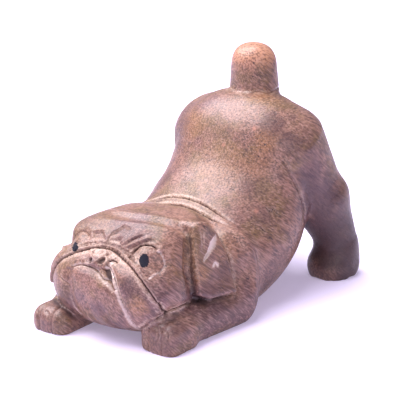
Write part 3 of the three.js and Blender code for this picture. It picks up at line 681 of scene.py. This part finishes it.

# Where handling, stain and age changed the wood: a worn tail tip, darker hind legs, dark and
# orange patches on the back and sides, and three small knots; some dark patches are painted shade, behind
# the thigh's ridge and under the ears
WORN_HEIGHTS = (70.5, 78.0)
STAINED_REAR = (24.0, 40.0)
STAINED_BELOW = 34.0
worn = step(carved[:, 2] + 1.2 * grit_at(carved, 3.0), *WORN_HEIGHTS)
stained = step(carved[:, 1] + 4.0 * grit_at(carved, 6.0), *STAINED_REAR)
stained *= step(STAINED_BELOW - carved[:, 2] + 3.0 * grit_at(carved, 5.0), -10.0, 16.0)
PATCHES = {
    # Dark patches: the wood's own darker tone, and painted shade behind the thigh's ridge and under the
    # ears
    "dark": [
        ((17.5, 15, 57.5), 5.5, 0.64), ((23, 16.3, 53), 6.0, 0.64), ((18, 4.3, 39), 5.5, 0.36),
        ((27, 27, 32), 10.0, 1.0), ((26, 30, 20), 8.0, 1.0), ((22, 2, 31.5), 5.0, 0.51),
        ((25, -27, 11), 6.0, 0.25), ((27, 4, 12), 9.0, 0.4), ((13, -55, 21.5), 3.2, 0.58),
        ((-20, 12, 50), 9.0, 0.51), ((-24, 28, 30), 11.0, 1.0), ((-18, 0, 36), 6.0, 0.51),
        ((25, 24, 39), 8.0, 0.9), ((27, 31, 27), 9.0, 1.0), ((24, 24, 47), 7.0, 0.6),
        ((27, 36, 14), 11.0, 0.9), ((0.5, -55, 9), 3.0, 0.6), ((6.5, -54, 8), 2.6, 0.5),
        ((22, -50, 7), 7.0, 0.62), ((-4, -57, 15), 3.2, 0.62), ((2.5, -57, 13), 3.4, 0.55),
        ((-11, -55, 12), 4.5, 0.6), ((24, -22, 18), 6.0, 0.65), ((25, -30, 15), 5.0, 0.6),
        ((-18, -57, 6), 8.0, 0.45),
    ],
    "orange": [
        ((17.5, 11.8, 53.5), 5.5, 0.96), ((16.5, 8, 45.5), 6.0, 0.56), ((16.6, -54, 15.8), 3.5, 1.0),
        ((24, -32.6, 21.5), 3.5, 1.0), ((4, 2, 45), 9.0, 0.56), ((8, 22, 63), 6.0, 0.64),
        ((22, -20, 24), 7.0, 0.48), ((20, -38, 25), 7.0, 0.45), ((-14, 10, 54), 8.0, 0.72),
        ((19, -49, 8), 4.0, 0.5), ((24, -22, 12), 6.0, 0.4),
    ],
    "knot": [
        ((12.6, 11.1, 56.7), 0.8, 0.8), ((3.6, 6.2, 50.7), 0.7, 0.7), ((21.1, 0.5, 32.7), 0.8, 0.7),
    ],
}
ragged = 0.35 * grit_at(carved, 2.6) + 0.25 * grit_at(carved, 6.0)
patch_marks = {}
for kind, places in PATCHES.items():
    uneven = 0.0 if kind == "knot" else ragged
    spread = np.zeros(len(points))
    for at, size, strength in places:
        off = np.sqrt(((carved - np.array(at)) ** 2).sum(1)) / size
        spread = np.maximum(spread, strength * step(1.25 - off + uneven, 0.0, 0.9))
    patch_marks[kind] = spread

low, high = (np.array(corner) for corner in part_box("dog"))
finished = np.clip((carved + CARVER_TO_FRAME) / MM_PER_METRE, low, high)
mesh = bpy.data.meshes.new("carved_dog")
mesh.from_pydata(finished.tolist(), [], triangles.tolist())
mesh.polygons.foreach_set("use_smooth", [True] * len(mesh.polygons))
marks = {
    "cut": knife.cut,
    "torn_edge": knife.edge,
    "bare": knife.bare,
    "closed_in": closed_in,
    "pupil": pupils,
    "worn": worn,
    "stained": stained,
    **patch_marks,
}
for name, values in marks.items():
    mark = mesh.attributes.new(name, "FLOAT", "POINT")
    mark.data.foreach_set("value", values.astype(np.float32))
mesh.update()
carved_dog = bpy.data.objects.new("carved_dog", mesh)
bpy.context.scene.collection.objects.link(carved_dog)

# The wood's surface
# Pinkish brown hardwood with olive patches, short dark pores along the grain, paler torn fibres
# beside the cuts and dark stain with painted shade in them, painted shade in the recesses, rubbed by hand
# to a satin gloss. Pupils in dark paint.

GRAIN = Vector((0.22, 0.74, -0.64)).normalized()


class Recipe:
    """Builds a material's nodes in a line, each from the ones before it."""

    def __init__(self, name):
        self.material = bpy.data.materials.new(name)
        self.material.use_nodes = True
        self.nodes = self.material.node_tree.nodes
        self.links = self.material.node_tree.links
        self.shader = self.nodes["Principled BSDF"]

    def feed(self, socket, value):
        if isinstance(value, bpy.types.NodeSocket):
            self.links.new(value, socket)
        else:
            socket.default_value = value

    def spots(self, where, size, detail=2.0, roughness=0.5):
        """A random pattern with spots of about that size, in millimetres."""
        node = self.nodes.new("ShaderNodeTexNoise")
        self.feed(node.inputs["Vector"], where)
        node.inputs["Scale"].default_value = 1.0 / size
        node.inputs["Detail"].default_value = detail
        node.inputs["Roughness"].default_value = roughness
        return node.outputs["Fac"]

    def level(self, value, low, high, to_low=0.0, to_high=1.0):
        node = self.nodes.new("ShaderNodeMapRange")
        node.interpolation_type = "SMOOTHSTEP"
        self.feed(node.inputs["Value"], value)
        node.inputs["From Min"].default_value = low
        node.inputs["From Max"].default_value = high
        node.inputs["To Min"].default_value = to_low
        node.inputs["To Max"].default_value = to_high
        return node.outputs["Result"]

    def math(self, kind, a, b):
        node = self.nodes.new("ShaderNodeMath")
        node.operation = kind
        self.feed(node.inputs[0], a)
        self.feed(node.inputs[1], b)
        return node.outputs[0]

    def mix(self, share, a, b):
        node = self.nodes.new("ShaderNodeMix")
        node.data_type = "RGBA"
        self.feed(node.inputs["Factor"], share)
        self.feed(node.inputs["A"], a if isinstance(a, bpy.types.NodeSocket) else (*a, 1.0))
        self.feed(node.inputs["B"], b if isinstance(b, bpy.types.NodeSocket) else (*b, 1.0))
        return node.outputs["Result"]

    def mark(self, name):
        node = self.nodes.new("ShaderNodeAttribute")
        node.attribute_name = name
        return node.outputs["Fac"]

    def scaled(self, where, scale=(1.0, 1.0, 1.0), turn=(0.0, 0.0, 0.0)):
        node = self.nodes.new("ShaderNodeMapping")
        self.feed(node.inputs["Vector"], where)
        node.inputs["Scale"].default_value = scale
        node.inputs["Rotation"].default_value = turn
        return node.outputs["Vector"]


wood = Recipe("rubbed_wood")
place = wood.nodes.new("ShaderNodeTexCoord").outputs["Object"]
spot = wood.scaled(place, scale=(MM_PER_METRE,) * 3)
grain_turn = GRAIN.to_track_quat("X", "Z").to_matrix().transposed().to_euler()
in_grain = wood.scaled(spot, turn=tuple(grain_turn))
fibre = wood.scaled(in_grain, scale=(0.13, 1.0, 1.0))

patches = wood.spots(spot, 10.5, detail=4.0, roughness=0.6)
clouds = wood.spots(spot, 24.0, detail=4.0, roughness=0.6)
mottle = wood.spots(spot, 4.5, detail=4.0, roughness=0.65)
streaks = wood.spots(fibre, 0.9, detail=4.0, roughness=0.65)
hatch = wood.spots(wood.scaled(in_grain, scale=(0.12, 1.0, 1.0)), 0.52, detail=2.0)
pore_noise = wood.spots(wood.scaled(in_grain, scale=(0.26, 1.0, 1.0)), 0.42, detail=1.0)
crowd = wood.spots(spot, 8.0, detail=2.0)
pore_level = wood.math("ADD", pore_noise, wood.level(crowd, 0.35, 0.7, -0.07, 0.06))
pore_level = wood.math("ADD", pore_level, wood.math("MULTIPLY", wood.mark("dark"), 0.07))
pores = wood.level(pore_level, 0.63, 0.69)
dash_noise = wood.spots(wood.scaled(in_grain, scale=(0.10, 1.0, 1.0)), 0.75, detail=0.5)
dash_level = wood.math("ADD", dash_noise, wood.level(crowd, 0.45, 0.65, -0.10, 0.0))
dashes = wood.level(dash_level, 0.70, 0.74)

PINK_BROWN = (0.252, 0.130, 0.092)
OLIVE_BROWN = (0.185, 0.104, 0.048)
PURPLE_BROWN = (0.128, 0.061, 0.068)
PALE_MOTTLE = (0.37, 0.205, 0.165)
DARK_MOTTLE = (0.095, 0.048, 0.042)
ORANGE_BROWN = (0.30, 0.145, 0.062)
WORN_ORANGE = (0.62, 0.30, 0.165)
PALE_STREAK = (0.45, 0.265, 0.21)
DARK_STREAK = (0.066, 0.034, 0.030)
PALE_SCRATCH = (0.44, 0.27, 0.225)
DARK_SCRATCH = (0.062, 0.032, 0.029)
PORE_BROWN = (0.050, 0.028, 0.026)
DASH_BROWN = (0.038, 0.022, 0.022)
DARK_PATCH_AND_SHADE = (0.066, 0.030, 0.036)
OLD_STAIN = (0.040, 0.019, 0.020)
KNOT_RED = (0.50, 0.22, 0.15)
TORN_PALE = (0.62, 0.46, 0.37)
TORN_BROWN = (0.36, 0.23, 0.17)
CUT_SHADE_AND_STAIN = (0.040, 0.022, 0.020)
RECESS_SHADE_BROWN = (0.045, 0.025, 0.026)
BARE_WOOD = (0.80, 0.67, 0.61)
PUPIL_PAINT = (0.004, 0.004, 0.012)
colour = wood.mix(wood.level(patches, 0.42, 0.60), PINK_BROWN, OLIVE_BROWN)
colour = wood.mix(wood.level(clouds, 0.48, 0.64, 0.0, 0.80), colour, PURPLE_BROWN)
colour = wood.mix(wood.level(mottle, 0.52, 0.70, 0.0, 0.28), colour, PALE_MOTTLE)
colour = wood.mix(wood.level(mottle, 0.50, 0.32, 0.0, 0.34), colour, DARK_MOTTLE)
colour = wood.mix(wood.math("MULTIPLY", wood.mark("orange"), 0.8), colour, ORANGE_BROWN)
colour = wood.mix(wood.math("MULTIPLY", wood.mark("worn"), 0.68), colour, WORN_ORANGE)
colour = wood.mix(wood.level(streaks, 0.50, 0.70, 0.0, 0.24), colour, PALE_STREAK)
colour = wood.mix(wood.level(streaks, 0.52, 0.34, 0.0, 0.42), colour, DARK_STREAK)
colour = wood.mix(wood.level(hatch, 0.53, 0.66, 0.0, 0.36), colour, PALE_SCRATCH)
colour = wood.mix(wood.level(hatch, 0.50, 0.37, 0.0, 0.62), colour, DARK_SCRATCH)
colour = wood.mix(wood.math("MULTIPLY", pores, 0.55), colour, PORE_BROWN)
colour = wood.mix(wood.math("MULTIPLY", dashes, 0.85), colour, DASH_BROWN)
# Dark patches, partly painted shade
colour = wood.mix(wood.math("MULTIPLY", wood.mark("dark"), 0.80), colour, DARK_PATCH_AND_SHADE)
colour = wood.mix(wood.math("MULTIPLY", wood.mark("stained"), 0.88), colour, OLD_STAIN)
colour = wood.mix(wood.math("MULTIPLY", wood.mark("knot"), 0.8), colour, KNOT_RED)

fibres_torn = wood.level(wood.spots(fibre, 0.4, detail=2.0), 0.4, 0.6)
raw = wood.mix(fibres_torn, TORN_PALE, TORN_BROWN)
edge_share = wood.math("MULTIPLY", wood.mark("torn_edge"), wood.level(crowd, 0.3, 0.6, 0.35, 0.9))
colour = wood.mix(edge_share, colour, raw)
# Dark stain and painted shade inside the cuts
cut_share = wood.level(wood.mark("cut"), 0.22, 0.85, 0.0, 0.92)
colour = wood.mix(cut_share, colour, CUT_SHADE_AND_STAIN)
# Painted shade in the recesses, darker where a point is more closed in
painted_recess_shade = wood.level(wood.mark("closed_in"), 0.46, 0.96, 0.0, 0.86)
colour = wood.mix(painted_recess_shade, colour, RECESS_SHADE_BROWN)

colour = wood.mix(wood.math("MULTIPLY", wood.mark("bare"), 0.90), colour, BARE_WOOD)

brush = wood.spots(wood.scaled(spot, scale=(0.35, 1.0, 1.6)), 0.5, detail=2.0)
paint_edge = wood.math("ADD", wood.mark("pupil"), wood.level(brush, 0.2, 0.8, -0.25, 0.25))
painted = wood.level(paint_edge, 0.08, -0.08)
thin_paint = wood.level(wood.spots(wood.scaled(spot, scale=(1.0, 0.3, 1.0)), 0.4), 0.60, 0.75, 1.0, 0.88)
colour = wood.mix(wood.math("MULTIPLY", painted, thin_paint), colour, PUPIL_PAINT)
wood.feed(wood.shader.inputs["Base Color"], colour)

gloss = wood.level(wood.math("ADD", patches, streaks), 0.7, 1.3, 0.32, 0.50)
rough = wood.math("MAXIMUM", gloss, wood.level(wood.mark("cut"), 0.1, 0.6, 0.0, 0.85))
rough = wood.math("MAXIMUM", rough, painted)
wood.feed(wood.shader.inputs["Roughness"], rough)

relief = wood.math("SUBTRACT", wood.math("MULTIPLY", streaks, 0.6), pores)
relief = wood.math("SUBTRACT", relief, dashes)
relief = wood.math("ADD", relief, wood.math("MULTIPLY", hatch, 0.7))
relief = wood.math("ADD", relief, wood.math("MULTIPLY", fibres_torn, wood.mark("cut")))
bump = wood.nodes.new("ShaderNodeBump")
bump.inputs["Strength"].default_value = 0.55
bump.inputs["Distance"].default_value = 0.00014
wood.feed(bump.inputs["Height"], relief)
wood.feed(wood.shader.inputs["Normal"], bump.outputs["Normal"])

carved_dog.data.materials.append(wood.material)
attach(carved_dog, "root")
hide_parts("dog")

# The table and the light
# The figurine stands on a pale matt surface under broad soft lamps.

bpy.ops.mesh.primitive_plane_add(size=6.0, location=(0.0, 1.0, 0.0))
floor = bpy.context.object
floor.name = "pale_floor"
pale = Recipe("pale_surface")
pale.shader.inputs["Base Color"].default_value = (0.68, 0.63, 0.80, 1.0)
pale.shader.inputs["Roughness"].default_value = 0.9
pale.shader.inputs["Emission Color"].default_value = (0.86, 0.75, 1.0, 1.0)
pale.shader.inputs["Emission Strength"].default_value = 0.30
floor.data.materials.append(pale.material)

world = bpy.data.worlds.new("soft_room")
world.use_nodes = True
world.node_tree.nodes["Background"].inputs["Color"].default_value = (0.86, 0.80, 1.0, 1.0)
world.node_tree.nodes["Background"].inputs["Strength"].default_value = 0.50
bpy.context.scene.world = world


def soft_lamp(name, at, aim, size, power, colour):
    """A square lamp behind a diffuser, turned to the figurine."""
    light = bpy.data.lights.new(name, "AREA")
    light.size = size
    light.energy = power
    light.color = colour
    lamp = bpy.data.objects.new(name, light)
    lamp.location = at
    lamp.rotation_euler = (Vector(aim) - Vector(at)).to_track_quat("-Z", "Y").to_euler()
    bpy.context.scene.collection.objects.link(lamp)


soft_lamp("top_lamp", (-0.42, -0.16, 0.95), (0.0, 0.0, 0.0), 1.15, 36.0, (0.98, 0.94, 1.0))
soft_lamp("side_lamp", (0.72, -0.42, 0.42), (0.0, -0.02, 0.03), 0.4, 1.5, (1.0, 0.95, 0.98))

# The camera looks from low in front and to the dog's left
VIEW_TURN = math.radians(37)
VIEW_RISE = math.radians(18)
VIEW_FAR = 500.0
VIEW_AIM = np.array([5.0, -6.0, 35.0])
FOCAL_PIXELS = 1530.0
PICTURE_WIDTH = 409.0
SENSOR_MM = 36.0

back = np.array([
    math.sin(VIEW_TURN) * math.cos(VIEW_RISE),
    -math.cos(VIEW_TURN) * math.cos(VIEW_RISE),
    math.sin(VIEW_RISE),
])
lens = bpy.data.cameras.new("camera")
lens.sensor_width = SENSOR_MM
lens.lens = SENSOR_MM * FOCAL_PIXELS / PICTURE_WIDTH
camera = bpy.data.objects.new("camera", lens)
camera.location = (VIEW_AIM + CARVER_TO_FRAME + VIEW_FAR * back) / MM_PER_METRE
camera.rotation_euler = Vector(back).to_track_quat("Z", "Y").to_euler()
bpy.context.scene.collection.objects.link(camera)
bpy.context.scene.camera = camera
bpy.context.scene.view_settings.view_transform = "Standard"
